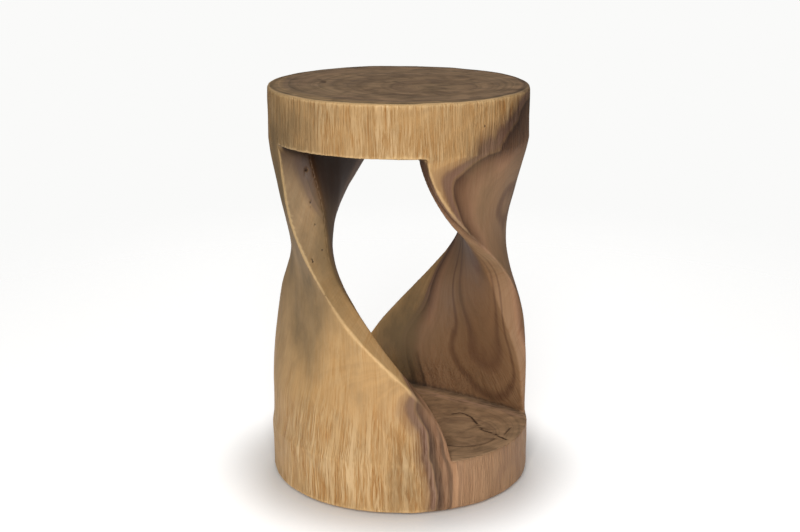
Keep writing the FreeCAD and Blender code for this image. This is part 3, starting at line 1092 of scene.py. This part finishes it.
felt, felt_shader, wool = new_material("wool_felt_pressed")
felt_place = wool("TexCoord", output="Object")
felt_place = wool("VectorMath", {0: felt_place, "Scale": 1 / MM}, operation="SCALE")
fibres = wool(
    "TexNoise",
    {"Vector": felt_place, "Scale": FELT_FIBRES_PER_MM, "Detail": 4, "Roughness": 0.7, "Distortion": 1.5},
)
felt_colour = wool("ValToRGB", {"Fac": fibres})
set_stops(felt_colour, [(position, linear(shade)) for position, shade in FELT_COLOURS])
nap = wool("Bump", {"Height": fibres, "Strength": 0.7, "Distance": FELT_NAP}, output="Normal")
felt_shader.inputs["Roughness"].default_value = 0.95
felt_shader.inputs["Specular IOR Level"].default_value = 0.15
link_shader(felt_shader, {"Base Color": felt_colour, "Normal": nap})

# %% [markdown]
# Each disc starts as a cylinder of its CAD node's size. A bevel rounds the cut edge,
# a voxel remesh gives it an even skin, and small bumps make that skin matted.

# %% Felt discs
FELT_ROUNDING = 0.5 * MM
FELT_VOXEL = 0.35 * MM
FELT_LUMP = 1.2 * MM
FELT_UNEVENNESS = 0.18 * MM

for number in range(1, 5):
    node = f"glide_felt_{number}"
    low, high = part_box(node)
    bpy.ops.mesh.primitive_cylinder_add(
        vertices=72, radius=(high.x - low.x) / 2, depth=high.z - low.z, location=(low + high) / 2
    )
    disc = bpy.context.object
    disc.name = disc.data.name = f"felt_disc_{number}"
    bpy.ops.object.transform_apply(location=True, rotation=False, scale=False)
    apply_modifier(disc, "BEVEL", width=FELT_ROUNDING, segments=3, limit_method="ANGLE")
    apply_modifier(disc, "REMESH", mode="VOXEL", voxel_size=FELT_VOXEL)
    matted_places = uneven_places(disc, FELT_LUMP, FELT_UNEVENNESS)
    # The face that stands on the floor stays flat.
    matted_places[:, 2] = np.maximum(matted_places[:, 2], low.z)
    move_to(disc, matted_places)
    bpy.ops.object.shade_smooth()
    disc.data.materials.append(felt)
    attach(disc, "root")
    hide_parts(node)
    print(disc.name, "triangles:", triangle_count(disc))

# %% [markdown]
# The cups are moulded in dark nylon, whose skin has a fine orange-peel texture and a
# soft sheen.

# %% Moulded nylon
NYLON_COLOURS = ((0.3, "#2A2724"), (0.7, "#3A3632"))
PEEL_PER_MM = 2.2
PEEL_DEPTH = 0.05 * MM

nylon, nylon_shader, moulded = new_material("nylon_moulded_dark")
peel_place = moulded("TexCoord", output="Object")
peel_place = moulded("VectorMath", {0: peel_place, "Scale": 1 / MM}, operation="SCALE")
peel = moulded("TexNoise", {"Vector": peel_place, "Scale": PEEL_PER_MM, "Detail": 2})
nylon_colour = moulded("ValToRGB", {"Fac": peel})
set_stops(nylon_colour, [(position, linear(shade)) for position, shade in NYLON_COLOURS])
nylon_gloss = moulded("MapRange", {"Value": peel, "To Min": 0.38, "To Max": 0.5})
peel_bump = moulded("Bump", {"Height": peel, "Strength": 0.2, "Distance": PEEL_DEPTH}, output="Normal")
link_shader(nylon_shader, {"Base Color": nylon_colour, "Roughness": nylon_gloss, "Normal": peel_bump})

# %% [markdown]
# The nails are drawn steel wire, with lengthwise scratches and a dull spot of rust
# here and there, as on nails that hold a glide near a damp floor. Rust is no metal,
# so it takes away the metallic shine as well as the gloss.

# %% Drawn steel
STEEL_COLOURS = ((0.3, "#8F8D89"), (0.7, "#B5B3AE"))
RUST_COLOUR = "#6B4129"
SCRATCH_SIZE = (0.15 * MM, 0.15 * MM, 3 * MM)
RUST_SPOT = 2.5 * MM

steel, steel_shader, wire = new_material("steel_nail_wire")
wire_place = wire("TexCoord", output="Object")
scratches = wire(
    "VectorMath", {0: wire_place, 1: [1 / side for side in SCRATCH_SIZE]}, operation="MULTIPLY"
)
scratches = wire("TexNoise", {"Vector": scratches, "Scale": 1, "Detail": 2})
rust_place = wire("VectorMath", {0: wire_place, "Scale": 1 / RUST_SPOT}, operation="SCALE")
rust = wire("TexNoise", {"Vector": rust_place, "Scale": 1, "Detail": 4})
rust = wire("MapRange", {"Value": rust, "From Min": 0.6, "From Max": 0.72})
steel_colour = wire("ValToRGB", {"Fac": scratches})
set_stops(steel_colour, [(position, linear(shade)) for position, shade in STEEL_COLOURS])
steel_colour = wire(
    "Mix", {"Factor": rust, "A": steel_colour, "B": linear(RUST_COLOUR)}, output="Result", data_type="RGBA"
)
clean = wire("Math", {0: 1, 1: rust}, operation="SUBTRACT")
steel_gloss = wire("MapRange", {"Value": rust, "To Min": 0.35, "To Max": 0.85})
link_shader(steel_shader, {"Base Color": steel_colour, "Metallic": clean, "Roughness": steel_gloss})

# %% [markdown]
# The cups and the nails are shown by their CAD nodes, which only get a finish.

# %% Finish the cups and nails
finishes = {f"glide_cup_{number}": nylon for number in range(1, 5)}
finishes["glide_nails"] = steel
for name, finish in finishes.items():
    mesh = frame["nodes"][name].data
    mesh.materials.clear()
    mesh.materials.append(finish)
    print(name, "gets", finish.name)

# %% [markdown]
# The studio is plain: a pale floor that fades into a white surround. Round the foot
# the paper also starts to glow a little, so that it looks white without a strong
# lamp. The fade is a mix with a transparent shader, by the distance out.

# %% Floor
FLOOR_RADIUS = 1.6
FADE = (0.3, 1.4)
PAPER_GLOW = 0.62
GLOW_FROM = (0.13, 0.24)

bpy.ops.mesh.primitive_circle_add(vertices=96, radius=FLOOR_RADIUS, fill_type="NGON")
floor = bpy.context.object
floor.name = "studio_floor"
paper, paper_shader, studio = new_material("studio_paper")
paper_shader.inputs["Base Color"].default_value = linear("#F4F2EF")
paper_shader.inputs["Roughness"].default_value = 0.9
paper_shader.inputs["Emission Color"].default_value = linear("#FFFFFF")
out = studio("TexCoord", output="Object")
out = studio("VectorMath", {0: out}, output="Value", operation="LENGTH")
lit = studio(
    "MapRange",
    {"Value": out, "From Min": GLOW_FROM[0], "From Max": GLOW_FROM[1], "To Max": PAPER_GLOW},
    interpolation_type="SMOOTHSTEP",
)
link_shader(paper_shader, {"Emission Strength": lit})
fade = studio(
    "MapRange", {"Value": out, "From Min": FADE[0], "From Max": FADE[1]}, interpolation_type="SMOOTHSTEP"
)
clear = studio("BsdfTransparent")
blended = studio("MixShader", {0: fade, 1: paper_shader.outputs[0], 2: clear})
paper.node_tree.links.new(blended, paper.node_tree.nodes["Material Output"].inputs["Surface"])
floor.data.materials.append(paper)

# %% [markdown]
# The camera sees the surround as nearly white, but the surround's light on the stool
# is weak, so that two soft boxes shape it: a strong one in front, and a weak one
# behind, which has no reflection in the waxed wood.

# %% Surround and soft boxes
SURROUND_SEEN = 1.0
SURROUND_LIGHT = 0.13

world = bpy.data.worlds.new("white_surround")
bpy.context.scene.world = world
world.use_nodes = True
surround = partial(add_node, world.node_tree)
seen = surround("LightPath", output="Is Camera Ray")
backdrop = surround("Background", {"Color": linear("#FAFAF9"), "Strength": SURROUND_SEEN})
glow = surround("Background", {"Color": linear("#FFFFFF"), "Strength": SURROUND_LIGHT})
mixed = surround("MixShader", {0: seen, 1: glow, 2: backdrop})
world.node_tree.links.new(mixed, world.node_tree.nodes["World Output"].inputs["Surface"])


def soft_box(name, place, size, power, aim=(0, 0, 0.22)):
    bpy.ops.object.light_add(type="AREA", location=place)
    lamp = bpy.context.object
    lamp.name = name
    lamp.data.shape = "RECTANGLE"
    lamp.data.size, lamp.data.size_y = size
    lamp.data.energy = power
    lamp.rotation_euler = (Vector(aim) - Vector(place)).to_track_quat("-Z", "Y").to_euler()
    print(name, "watts:", power)
    return lamp


# Places and sizes in metres, and power in watts.
soft_box("front_box", (-0.1, -2.3, 1.3), (0.9, 0.8), 46)
rear_box = soft_box("rear_box", (0.1, 2.2, 0.9), (1.0, 0.8), 14)
rear_box.visible_glossy = False
bpy.context.scene.view_settings.view_transform = "Standard"
